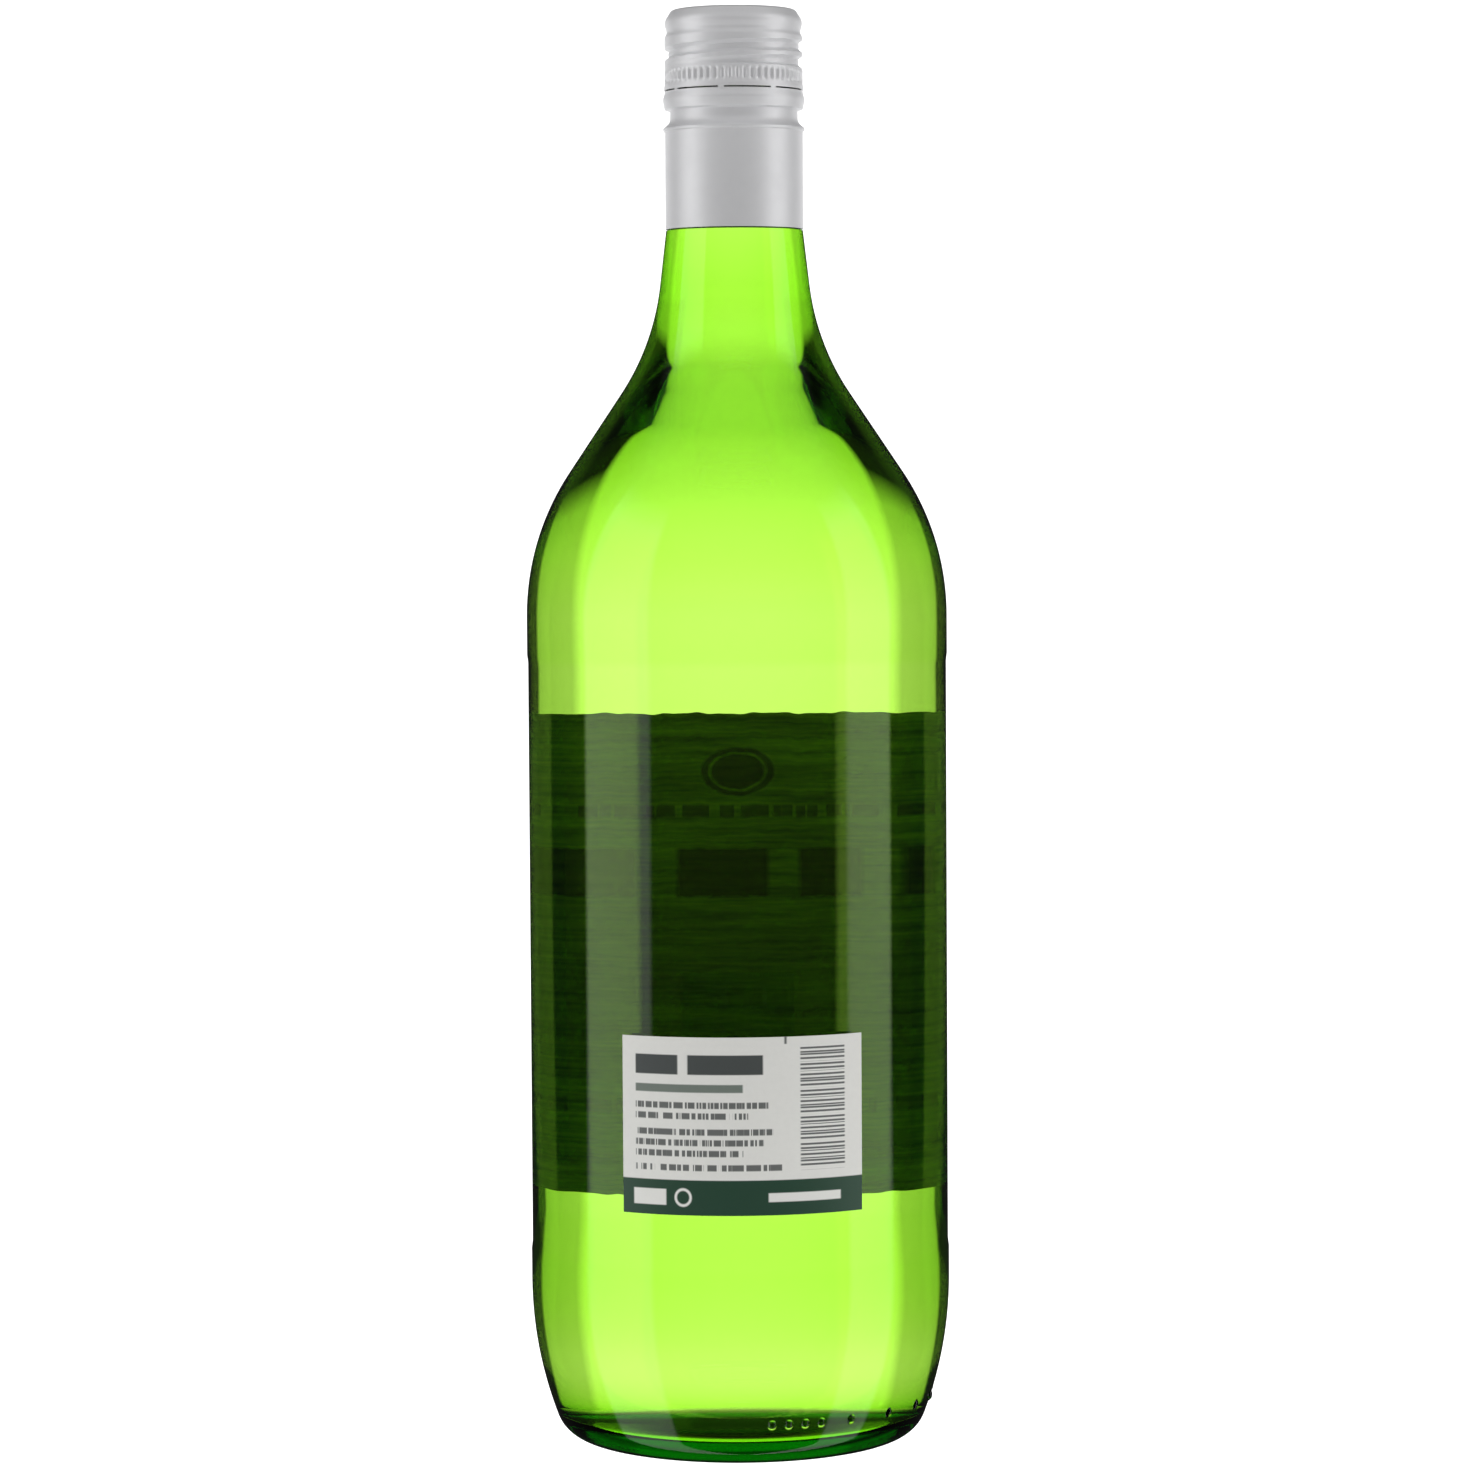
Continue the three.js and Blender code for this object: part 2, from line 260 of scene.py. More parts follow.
# %% Outline of the glass
body_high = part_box("glass_bottle")[1]
BODY_RADIUS = body_high.x / MM
SHOULDER_START, SHOULDER_RADIUS = 170.45, 53.2
SLOPE_ANGLE, SLOPE_LENGTH = 33.74, 19.55
NECK_BEND_RADIUS, NECK_ANGLE = 50.53, 6.72
PANEL_LOW, PANEL_HIGH, PANEL_RECESS, PANEL_RAMP = 41, 161, 0.2, 1.6
PANEL_RADIUS = BODY_RADIUS - PANEL_RECESS
HEEL_END, HEEL_RADIUS, HEEL_ANGLE = 33.15, 80.38, 20.68
CORNER_RADIUS, BEARING_RADIUS, PUNT_HEIGHT = 7.36, 28.6, 4.6
HEEL_WALL, BODY_WALL, NECK_WALL = 3.5, 2.6, 4
FLOOR_TOP, INNER_HEEL_TOP = 9.2, 24
VALLEY_RADIUS, VALLEY_HEIGHT = 30.5, 5.4
NECK_END, COLLAR_RADIUS, COLLAR_END = 249.6, 13.6, 268.5
FINISH_RADIUS, FINISH_START, MOUTH_TOP = 12.2, 270.4, body_high.z / MM
MOUTH_RADIUS, BORE_RADIUS, BORE_START = 9.5, 9.9, 262
LIP_ROUNDING, MOUTH_BEVEL = 1.1, 0.5
DOME_STEPS, HEEL_STEPS, SHOULDER_STEPS = 10, 12, 24


def dome(rim_radius, rim_height, top_height):
    """Shallow dome from the axis out to its rim."""
    rise = top_height - rim_height
    radius = (rim_radius ** 2 + rise ** 2) / (2 * rise)
    rim_angle = math.degrees(math.acos(rim_radius / radius))
    return arc((0, top_height - radius), radius, 90, rim_angle, DOME_STEPS)


def shoulder_outline(inset_below, inset_above):
    """Shoulder, slope and neck bend, set in by one distance below and another from the slope up."""
    slope = math.radians(SLOPE_ANGLE)
    centre = (BODY_RADIUS - SHOULDER_RADIUS, SHOULDER_START)
    both = SHOULDER_RADIUS + NECK_BEND_RADIUS
    bend_centre = (
        centre[0] + both * math.cos(slope) - SLOPE_LENGTH * math.sin(slope),
        centre[1] + both * math.sin(slope) + SLOPE_LENGTH * math.cos(slope),
    )
    shoulder = arc(centre, SHOULDER_RADIUS - inset_below, 0, SLOPE_ANGLE, SHOULDER_STEPS,
                   SHOULDER_RADIUS - inset_above)
    bend = arc(bend_centre, NECK_BEND_RADIUS + inset_above, 180 + SLOPE_ANGLE, 180 + NECK_ANGLE,
               SHOULDER_STEPS)
    return shoulder + bend


def outer_outline():
    heel_centre = (BODY_RADIUS - HEEL_RADIUS, HEEL_END)
    heel_angle = math.radians(HEEL_ANGLE)
    corner_centre = (heel_centre[0] + (HEEL_RADIUS - CORNER_RADIUS) * math.cos(heel_angle), CORNER_RADIUS)
    shoulder = shoulder_outline(0, 0)
    neck_radius = shoulder[-1][0] - (NECK_END - shoulder[-1][1]) * math.tan(math.radians(NECK_ANGLE))
    return [
        *dome(BEARING_RADIUS, 0, PUNT_HEIGHT),
        *arc(corner_centre, CORNER_RADIUS, -90, -HEEL_ANGLE, HEEL_STEPS),
        *arc(heel_centre, HEEL_RADIUS, -HEEL_ANGLE, 0, 14)[1:],
        (BODY_RADIUS, PANEL_LOW - PANEL_RAMP),
        (PANEL_RADIUS, PANEL_LOW),
        (PANEL_RADIUS, PANEL_HIGH),
        (BODY_RADIUS, PANEL_HIGH + PANEL_RAMP),
        *shoulder,
        (neck_radius, NECK_END),
        (COLLAR_RADIUS, NECK_END + 0.1),
        (COLLAR_RADIUS, COLLAR_END),
        (FINISH_RADIUS, FINISH_START),
        *arc((FINISH_RADIUS - LIP_ROUNDING, MOUTH_TOP - LIP_ROUNDING), LIP_ROUNDING, 0, 90, 4),
    ]


def inner_outline(outset):
    """Inside of the wall from the axis up to the neck bend, moved outwards into the wall."""
    radius = BODY_RADIUS - HEEL_WALL + outset
    height = VALLEY_HEIGHT - outset
    angles = [math.radians(90 * (i + 1) / HEEL_STEPS) for i in range(HEEL_STEPS)]
    heel = [(VALLEY_RADIUS + (radius - VALLEY_RADIUS) * math.sin(a),
             INNER_HEEL_TOP - (INNER_HEEL_TOP - height) * math.cos(a)) for a in angles]
    inner_floor = dome(VALLEY_RADIUS, height, FLOOR_TOP - outset)
    return [*inner_floor, *heel, *shoulder_outline(BODY_WALL - outset, NECK_WALL - outset)]


print("outline points:", len(outer_outline()), "outside,", len(inner_outline(0)), "inside")

# %% [markdown]
# The glass is a thick, clear soda-lime glass, tinted yellow-green. Its colour is in its depth and not
# on its surface: looking through more glass gives a deeper green, as at the edges and in the heel. So
# the surface is colourless and smooth, and the tint is a plain absorption inside, per metre of glass.
# Moulded glass is never quite even, so a very low, broad unevenness bends the normals.

# %% Glass material
GLASS_IOR = 1.52
GLASS_DEPTH_COLOUR = (0.6575, 0.925, 0.0, 1)
GLASS_DEPTH_DENSITY = 400


def moulded_swirl(start):
    """Normals bent by the slow unevenness of moulded glass."""
    place = start.node("ShaderNodeTexCoord", output="Object")
    stretched = start.node("ShaderNodeMapping", Vector=place, Scale=(28, 28, 5))
    swirl = start.node("ShaderNodeTexNoise", Vector=stretched, Scale=1.0, Detail=1.5)
    return start.node("ShaderNodeBump", Height=swirl, Strength=0.06, Distance=1.2 * MM)


def green_glass():
    material, start = start_material("green_glass")
    surface = start.node("ShaderNodeBsdfPrincipled", Normal=moulded_swirl(start), Base_Color=(1, 1, 1, 1),
                         Roughness=0.0, IOR=GLASS_IOR, Transmission_Weight=1.0)
    volume = start.node("ShaderNodeVolumeAbsorption", Color=GLASS_DEPTH_COLOUR, Density=GLASS_DEPTH_DENSITY)
    close_material(start, surface, volume)
    return material


glass_material = green_glass()

# %% [markdown]
# The glass shell is spun from its outside and inside outlines joined at the mouth.

# %% Glass bottle
glass = spin_outline("bottle_glass", [
    *outer_outline(),
    (MOUTH_RADIUS, MOUTH_TOP - MOUTH_BEVEL),
    (BORE_RADIUS, BORE_START),
    *reversed(inner_outline(0)),
])
print("glass faces:", len(glass.data.polygons))

# %% [markdown]
# The mould leaves a broken row of low dots round the heel, fused to the glass. They could be a bump in
# the material, but at the rim they stand out against the floor, so they are real. One dot is a sphere
# primitive flattened in its mesh; it is copied round the heel, and a boolean union fuses the row.

# %% Mould dots
DOT_HEIGHT, DOT_PITCH, DOT_FIRST, DOT_SLOTS = 9.2, 5, 8.9, 26
DOT_WIDTH, DOT_TALL, DOT_RELIEF = 2.0, 2.8, 0.55


def heel_dots():
    """All the raised dots as one piece, sunk halfway into the heel."""
    heel_drop = HEEL_END - DOT_HEIGHT
    heel_radius = BODY_RADIUS - HEEL_RADIUS + math.sqrt(HEEL_RADIUS ** 2 - heel_drop ** 2)
    deselect_all()
    bpy.ops.mesh.primitive_uv_sphere_add(segments=16, ring_count=10, radius=1)
    dot = bpy.context.object
    size = Matrix.Diagonal((DOT_WIDTH / 2, 2 * DOT_RELIEF, DOT_TALL / 2, 1))
    place = Matrix.Translation((0, -(heel_radius - DOT_RELIEF), DOT_HEIGHT))
    dot.data.transform(Matrix.Scale(MM, 4) @ place @ size)
    copies = []
    for slot in range(DOT_SLOTS):
        if slot < 4 or slot % 3 == 2:
            copy = dot.copy()
            copy.data = dot.data.copy()
            copy.data.transform(Matrix.Rotation(math.radians(DOT_FIRST + slot * DOT_PITCH), 4, "Z"))
            bpy.context.scene.collection.objects.link(copy)
            copies.append(copy)
    bpy.data.objects.remove(dot)
    deselect_all()
    for copy in copies:
        copy.select_set(True)
    bpy.context.view_layer.objects.active = copies[0]
    bpy.ops.object.join()
    return copies[0], len(copies)


dots, dot_count = heel_dots()
make_active(glass)
union = glass.modifiers.new("fused dots", "BOOLEAN")
union.operation = "UNION"
union.object = dots
bpy.ops.object.modifier_apply(modifier=union.name)
bpy.data.objects.remove(dots)
finish_piece(glass, glass_material, "glass_bottle")
print("dots:", dot_count)

# %% [markdown]
# White wine is almost colourless, with a hint of straw that only shows through the whole width of the
# body. Its skin reaches a hair into the wall: with a gap, the body would look lined with silver,
# because light would turn back at a film of air. It has the same slow unevenness as the glass.

# %% Wine
WINE_IOR = 1.345
WINE_DEPTH_COLOUR = (0.9, 0.93, 0.4, 1)
WINE_DEPTH_DENSITY = 3.0
WINE_IN_WALL = 0.06
WINE_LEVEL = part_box("wine")[1].z / MM


def white_wine():
    material, start = start_material("white_wine")
    surface = start.node("ShaderNodeBsdfPrincipled", Normal=moulded_swirl(start), Base_Color=(1, 1, 1, 1),
                         Roughness=0.0, IOR=WINE_IOR, Transmission_Weight=1.0)
    volume = start.node("ShaderNodeVolumeAbsorption", Color=WINE_DEPTH_COLOUR, Density=WINE_DEPTH_DENSITY)
    close_material(start, surface, volume)
    return material


def wine_outline():
    outline = inner_outline(WINE_IN_WALL)
    radius, height = outline[-1]
    taper = (radius - BORE_RADIUS - WINE_IN_WALL) / (BORE_START - height)
    level_radius = radius - taper * (WINE_LEVEL - height)
    return [*outline, (level_radius, WINE_LEVEL), (0, WINE_LEVEL)]


wine = spin_outline("white_wine_fill", wine_outline())
finish_piece(wine, white_wine(), "wine")

# %% [markdown]
# The cap is one rolled aluminium shell: a long skirt, a lip, an undercut, the tamper band's bead, and
# above the slits a knurl, the thread and a top bead. The outline is spun with a row of points wherever
# the thread or the knurl will need them.

# %% Cap outline
CAP_BOTTOM, CAP_TOP, CAP_WALL = 249.9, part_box("screw_cap")[1].z / MM, 0.3
SKIRT_RADIUS, SKIRT_INSIDE, SKIRT_TOP = 14.2, 13.9, 269.6
LIP_CENTRE, LIP_RADIUS = (14.1, 270.3), 0.5
UNDERCUT_RADIUS, UNDERCUT_INSIDE = 13.15, 12.85
TOP_FLAT_RADIUS, TOP_ROUNDING, KNURL_INSIDE = 12.2, 1.05, 13.5
SLIT_LOW, SLIT_HIGH = 278.05, 278.35
KNURL_LOW, KNURL_HIGH, KNURL_RADIUS, KNURL_DEPTH, KNURL_COUNT = 279.6, 282.4, 14.2, 0.4, 60
THREAD_LOW, THREAD_HIGH, THREAD_RADIUS, THREAD_LINING = 283.1, 289.1, 14.2, 12.6
CAP_STEPS = 360


def rows(radius, low, high, count):
    return [(radius, low + (high - low) * i / count) for i in range(count + 1)]


def cap_outline():
    band = [(13.25, 274.15), (14.2, 274.45), (14.33, 274.75), (14.42, 275.4), (14.55, 275.95),
            (14.6, 276.3), (14.55, 276.65), (14.4, 277.2), (14.25, 277.6)]
    top_bead = [(14.05, 289.45), (13.84, 289.8), (13.76, 290.2), (13.86, 290.7), (14.05, 291.3),
                (14.15, 291.9), (14.1, 292.4), (13.9, 292.95), (13.6, 293.4)]
    return [
        (SKIRT_RADIUS, CAP_BOTTOM),
        (SKIRT_RADIUS, SKIRT_TOP),
        *arc(LIP_CENTRE, LIP_RADIUS, -70, 60, 7),
        (14.0, 271.0),
        (13.6, 271.4),
        (13.25, 271.9),
        (UNDERCUT_RADIUS, 272.5),
        (UNDERCUT_RADIUS, 273.9),
        *band,
        (14.22, SLIT_LOW),
        (14.32, SLIT_HIGH),
        (14.35, 278.8),
        (14.28, 279.2),
        *rows(KNURL_RADIUS, KNURL_LOW, KNURL_HIGH, 10),
        (14.14, 282.7),
        *rows(THREAD_RADIUS, THREAD_LOW, THREAD_HIGH, 44),
        *top_bead,
        *arc((TOP_FLAT_RADIUS, CAP_TOP - TOP_ROUNDING), TOP_ROUNDING, 30, 90, 7),
        (0, CAP_TOP),
        (0, CAP_TOP - CAP_WALL),
        (THREAD_LINING - 0.5, CAP_TOP - CAP_WALL),
        (THREAD_LINING, 293.7),
        (THREAD_LINING, THREAD_LOW),
        (KNURL_INSIDE, 282.2),
        (KNURL_INSIDE, KNURL_LOW),
        (SKIRT_INSIDE, 278.8),
        (SKIRT_INSIDE, SLIT_HIGH),
        (SKIRT_INSIDE, SLIT_LOW),
        (SKIRT_INSIDE, 274.8),
        (UNDERCUT_INSIDE, 273.7),
        (UNDERCUT_INSIDE, 272.2),
        (SKIRT_INSIDE, 269.3),
        (SKIRT_INSIDE, CAP_BOTTOM),
        (SKIRT_RADIUS, CAP_BOTTOM),
    ]


cap = spin_outline("cap_shell", cap_outline(), CAP_STEPS)
print("cap rows:", len(cap_outline()))

# %% [markdown]
# A capping head rolls the thread into the smooth shell: it presses the skin inwards along a helix. The
# same is done here to the points of the shell. The groove has two deep lines with a low ridge between
# them, where the skin bears on the thread of the glass, and it fades out at both ends. The knurl is
# pressed in the same way, as short upright grooves.

# %% Rolled thread and knurl
GROOVE_DEPTH, GROOVE_HALF_WIDTH, GROOVE_LEAD = 1.05, 1.2, 3.28
GROOVE_FRONT_HEIGHT, GROOVE_START, GROOVE_END, GROOVE_FADE = 286.46, -430, 170, 85
RIDGE_HEIGHT, RIDGE_HALF_WIDTH = 0.27, 0.5
VALLEY_POWER, KNURL_FADE = 0.75, 0.5
CLOSE = 0.1


def clamped(value):
    return min(1.0, max(0.0, value))


def azimuth_of(place):
    """Degrees round the bottle, from the back label's side towards +X."""
    return math.degrees(math.atan2(place.x, -place.y))


def groove_depth(azimuth, height):
    depths = [0.0]
    for turn in (-2, -1, 0, 1):
        along = azimuth + 360 * turn
        fade = clamped(min(along - GROOVE_START, GROOVE_END - along) / GROOVE_FADE)
        offset = height - GROOVE_FRONT_HEIGHT - GROOVE_LEAD * along / 360
        valley = clamped(1 - (offset / GROOVE_HALF_WIDTH) ** 2) ** VALLEY_POWER
        ridge = clamped(1 - (offset / RIDGE_HALF_WIDTH) ** 2)
        depths.append(fade * (GROOVE_DEPTH * valley - RIDGE_HEIGHT * ridge))
    return max(depths)


def knurl_depth(azimuth, height):
    pitch = 360 / KNURL_COUNT
    off_groove = abs((azimuth % pitch) - pitch / 2) / (pitch / 3)
    fade = clamped(min(height - KNURL_LOW, KNURL_HIGH - height) / KNURL_FADE)
    return KNURL_DEPTH * fade * clamped(1 - off_groove)


def press_cap(piece):
    """Presses the thread and the knurl into the points of the outer skin."""
    for vertex in piece.data.vertices:
        place = vertex.co / MM
        radius = math.hypot(place.x, place.y)
        pressed = 0.0
        if THREAD_LOW - CLOSE < place.z < THREAD_HIGH + CLOSE and radius > THREAD_RADIUS - CLOSE:
            pressed = groove_depth(azimuth_of(place), place.z)
        elif KNURL_LOW < place.z < KNURL_HIGH and radius > KNURL_RADIUS - CLOSE:
            pressed = knurl_depth(azimuth_of(place), place.z)
        scale = (radius - pressed) / radius if radius else 1.0
        vertex.co.x *= scale
        vertex.co.y *= scale


press_cap(cap)

# %% [markdown]
# The slits let the tamper band tear off. They are real openings: the faces between two bridges are
# deleted in the outer and the inner skin, and each pair of rims is bridged, which gives the metal its
# thickness at the cut.

# %% Slits
SLIT_COUNT, FIRST_BRIDGE, BRIDGE_WIDTH = 8, -10.6, 4.2
SLIT_PITCH = 360 / SLIT_COUNT


def slit_number(azimuth):
    """The slit that an azimuth is in, or None on a bridge."""
    along = (azimuth - FIRST_BRIDGE) % 360
    on_bridge = min(along % SLIT_PITCH, SLIT_PITCH - along % SLIT_PITCH) < BRIDGE_WIDTH / 2
    return None if on_bridge else int(along // SLIT_PITCH)


def select_only(piece, faces=(), edges=()):
    for item in (*piece.data.polygons, *piece.data.edges, *piece.data.vertices):
        item.select = False
    for face in faces:
        face.select = True
    for edge in edges:
        edge.select = True


def cut_slits(piece):
    """Cuts the slits through the shell and returns the number of faces that they took."""
    make_active(piece)
    mesh = piece.data
    middle = (SLIT_LOW + SLIT_HIGH) / 2
    cut = [face for face in mesh.polygons
           if abs(face.center.z / MM - middle) < CLOSE
           and slit_number(azimuth_of(face.center)) is not None]
    select_only(piece, faces=cut)
    bpy.ops.object.mode_set(mode="EDIT")
    bpy.ops.mesh.select_mode(type="FACE")
    bpy.ops.mesh.delete(type="FACE")
    bpy.ops.object.mode_set(mode="OBJECT")
    for number in range(SLIT_COUNT):
        uses = {}
        for face in mesh.polygons:
            for key in face.edge_keys:
                uses[key] = uses.get(key, 0) + 1
        centre = {edge.index: sum((mesh.vertices[v].co for v in edge.vertices), Vector()) / 2
                  for edge in mesh.edges if uses.get(edge.key, 0) == 1}
        rim = [mesh.edges[i] for i, place in centre.items()
               if int(((azimuth_of(place) - FIRST_BRIDGE) % 360) // SLIT_PITCH) == number]
        select_only(piece, edges=rim)
        bpy.ops.object.mode_set(mode="EDIT")
        bpy.ops.mesh.select_mode(type="EDGE")
        bpy.ops.mesh.bridge_edge_loops()
        bpy.ops.object.mode_set(mode="OBJECT")
    return len(cut)


print("faces cut out:", cut_slits(cap))

# %% [markdown]
# The shell is coated in pale silver-grey lacquer. The lacquer lets some of the metal's mirror through,
# so the finish is partly metallic with a soft gloss: the side lights brighten the flanks of the cap
# and the middle stays darker. Handling dulls it in faint patches, and drawing the metal leaves faint
# upright lines.

# %% Lacquer
LACQUER_PALE, LACQUER_WORN = (0.80, 0.80, 0.815), (0.78, 0.78, 0.795)
LACQUER_ROUGHNESS, WORN_ROUGHNESS, LACQUER_METALLIC = 0.44, 0.04, 0.28


def lacquered_aluminium():
    material, start = start_material("painted_aluminium")
    place = start.node("ShaderNodeTexCoord", output="Object")
    broad = start.node("ShaderNodeTexNoise", Vector=place, Scale=260.0, Detail=3.0)
    drawn = start.node("ShaderNodeMapping", Vector=place, Scale=(900, 900, 60))
    lines = start.node("ShaderNodeTexNoise", Vector=drawn, Scale=1.0, Detail=2.0)
    bump = start.node("ShaderNodeBump", Height=lines, Strength=0.08, Distance=0.05 * MM)
    worn = broad.over(0.56, 0.25)
    surface = start.node("ShaderNodeBsdfPrincipled", Base_Color=worn.mix(LACQUER_PALE, LACQUER_WORN),
                         Roughness=LACQUER_ROUGHNESS + worn * WORN_ROUGHNESS,
                         Metallic=LACQUER_METALLIC, IOR=1.5, Normal=bump)
    close_material(start, surface)
    return material


finish_piece(cap, lacquered_aluminium(), "screw_cap")

# %% [markdown]
# Both labels are paper glued to the set-back panel. Each is a grid primitive bent round the bottle and
# given its thickness, with its inner face just inside the glass, so that it is seen from within as
# glued paper and not across a film of air. The grid's own UV map runs across and up the label.

# %% Label sheets
PAPER_IN_GLASS, PAPER_PROUD, PAPER_MIDDLE = 0.03, 0.1, 0.035
LABEL_ROWS = 24
FRONT_LOW, FRONT_HIGH, FRONT_WIDTH, DECKLE = 45.2, 151.2, 150, 0.3
BACK_LOW, BACK_HIGH, BACK_CENTRE, BACK_WIDTH, BACK_TILT = 51.96, 87.66, 0.85, 67.1, 0.1


def deckle_edge(azimuth, phase):
    """Torn-looking edge of hand-made paper."""
    along = math.radians(azimuth)
    waves = (0.45 * math.sin(31 * along + phase) + 0.35 * math.sin(83 * along + 2.1 * phase)
             + 0.2 * math.sin(137 * along + 3.7 * phase))
    return waves * DECKLE


def front_edges(azimuth):
    return FRONT_LOW + deckle_edge(azimuth, 5), FRONT_HIGH + deckle_edge(azimuth, 1)


def back_edges(azimuth):
    rise = math.tan(math.radians(BACK_TILT)) * BODY_RADIUS * math.radians(azimuth - BACK_CENTRE)
    return BACK_LOW + rise, BACK_HIGH + rise


def label_sheet(name, centre, width, edges, columns):
    deselect_all()
    bpy.ops.mesh.primitive_grid_add(x_subdivisions=columns, y_subdivisions=LABEL_ROWS, size=1, calc_uvs=True)
    sheet = bpy.context.object
    sheet.name = sheet.data.name = name
    radius = PANEL_RADIUS + PAPER_PROUD
    for vertex in sheet.data.vertices:
        azimuth = centre + vertex.co.x * width
        angle = math.radians(azimuth)
        low, high = edges(azimuth)
        height = low + (high - low) * (vertex.co.y + 0.5)
        vertex.co = Vector((radius * math.sin(angle), -radius * math.cos(angle), height)) * MM
    make_active(sheet)
    solidify = sheet.modifiers.new("paper", "SOLIDIFY")
    solidify.thickness = (PAPER_IN_GLASS + PAPER_PROUD) * MM
    solidify.offset = -1
    bpy.ops.object.modifier_apply(modifier=solidify.name)
    return sheet


def label_place(start):
    """Across and up the label, each from 0 to 1."""
    split = start.node("ShaderNodeSeparateXYZ", i0=start.node("ShaderNodeTexCoord", output="UV"))
    return split.part("X"), split.part("Y")


back_label = label_sheet("back_label_paper", BACK_CENTRE, BACK_WIDTH, back_edges, 96)
front_label = label_sheet("front_label_paper", 180, FRONT_WIDTH, front_edges, 480)

# %% [markdown]
# The print on the small label is plain blocks of the size and colour that such a label has: a heading,
# lines of small print, a dark band at the foot and a field of bars with a rule of their own. A block is
# the product of two soft-edged ranges, one across and one up. Small print is a block crossed by fine
# uneven gaps, so that it reads as text from afar and as nothing from near.

# %% Back label print
PAPER_WHITE, PRINT_DARK, BAND_GREEN = (0.88, 0.88, 0.84), (0.02, 0.03, 0.03), (0.010, 0.055, 0.028)
BAND_TOP = 0.198
SOFT = 0.006
BACK_HEADING = ((0.06, 0.24, 0.79, 0.90), (0.28, 0.58, 0.79, 0.90))
SECOND_HEADING = (0.06, 0.50, 0.69, 0.735)
SMALL_LINES = ((0.06, 0.60, 0.60), (0.06, 0.52, 0.54), (0.06, 0.62, 0.45), (0.06, 0.58, 0.39),
               (0.06, 0.50, 0.33), (0.06, 0.66, 0.25))
SMALL_LINE_HEIGHT = 0.035
BARS, TOP_MARK = (0.73, 0.92, 0.25, 0.95), (0.665, 0.675, 0.96, 1.0)
BAND_BLOCKS = ((0.05, 0.19, 0.055, 0.145), (0.60, 0.90, 0.075, 0.125))
RING_ACROSS, RING_UP, RING_INSIDE, RING_OUTSIDE = 0.26, 0.1, 0.030, 0.042
RING_WIDEN, RING_HEIGHTEN = 1.19, 0.8


def block(across, up, left, right, low, high):
    return across.between(left, right, SOFT) * up.between(low, high, SOFT)


def blocks(across, up, places):
    """Several blocks in one mask."""
    mask = block(across, up, *places[0])
    for place in places[1:]:
        mask = mask + block(across, up, *place)
    return mask


def small_print(start, across, up, left, right, low, high, seed):
    """A line of print with uneven gaps."""
    fine = start.node("ShaderNodeCombineXYZ", X=across * 85, Y=up * 0 + seed)
    gaps = start.node("ShaderNodeTexNoise", Vector=fine, Scale=1.0, Detail=1.0)
    return block(across, up, left, right, low, high) * (1 - gaps.over(0.56, 0.04))


def bar_field(across, up):
    """Bars of uneven width, from the sum of two waves."""
    waves = (up * 210).math("SINE") + (up * 337 + 1.3).math("SINE")
    return block(across, up, *BARS) * waves.over(0.1, 0.25)


def back_label_paper():
    material, start = start_material("white_paper")
    across, up = label_place(start)
    band = 1 - up.over(BAND_TOP, SOFT)
    heading = blocks(across, up, BACK_HEADING)
    second = block(across, up, *SECOND_HEADING)
    print_lines = bar_field(across, up) + block(across, up, *TOP_MARK)
    for line, (left, right, low) in enumerate(SMALL_LINES):
        high = low + SMALL_LINE_HEIGHT
        print_lines = print_lines + small_print(start, across, up, left, right, low, high, line * 7.3)
    ring_x = ((across - RING_ACROSS) * RING_WIDEN).math("POWER", 2.0)
    ring_y = ((up - RING_UP) * RING_HEIGHTEN).math("POWER", 2.0)
    ring = (ring_x + ring_y).math("SQRT").between(RING_INSIDE, RING_OUTSIDE, SOFT)
    pale = blocks(across, up, BAND_BLOCKS) + ring
    fibre = start.node("ShaderNodeTexNoise", Vector=start.node("ShaderNodeTexCoord", output="Object"),
                       Scale=900.0, Detail=3.0)
    white = fibre.over(0.5, 0.6).mix((0.85, 0.85, 0.81), PAPER_WHITE)
    inked = (heading * 0.95 + print_lines * 0.85).math("MINIMUM", 1.0).mix(white, PRINT_DARK)
    inked = (second * 0.8).mix(inked, BAND_GREEN)
    colour = band.mix(inked, pale.math("MINIMUM", 1.0).mix(BAND_GREEN, PAPER_WHITE))
    bump = start.node("ShaderNodeBump", Height=fibre, Strength=0.1, Distance=0.03 * MM)
    surface = start.node("ShaderNodeBsdfPrincipled", Base_Color=colour, Roughness=0.62 - band * 0.12,
                         IOR=1.5, Normal=bump)
    close_material(start, surface)
    return material


finish_piece(back_label, back_label_paper(), "back_label")
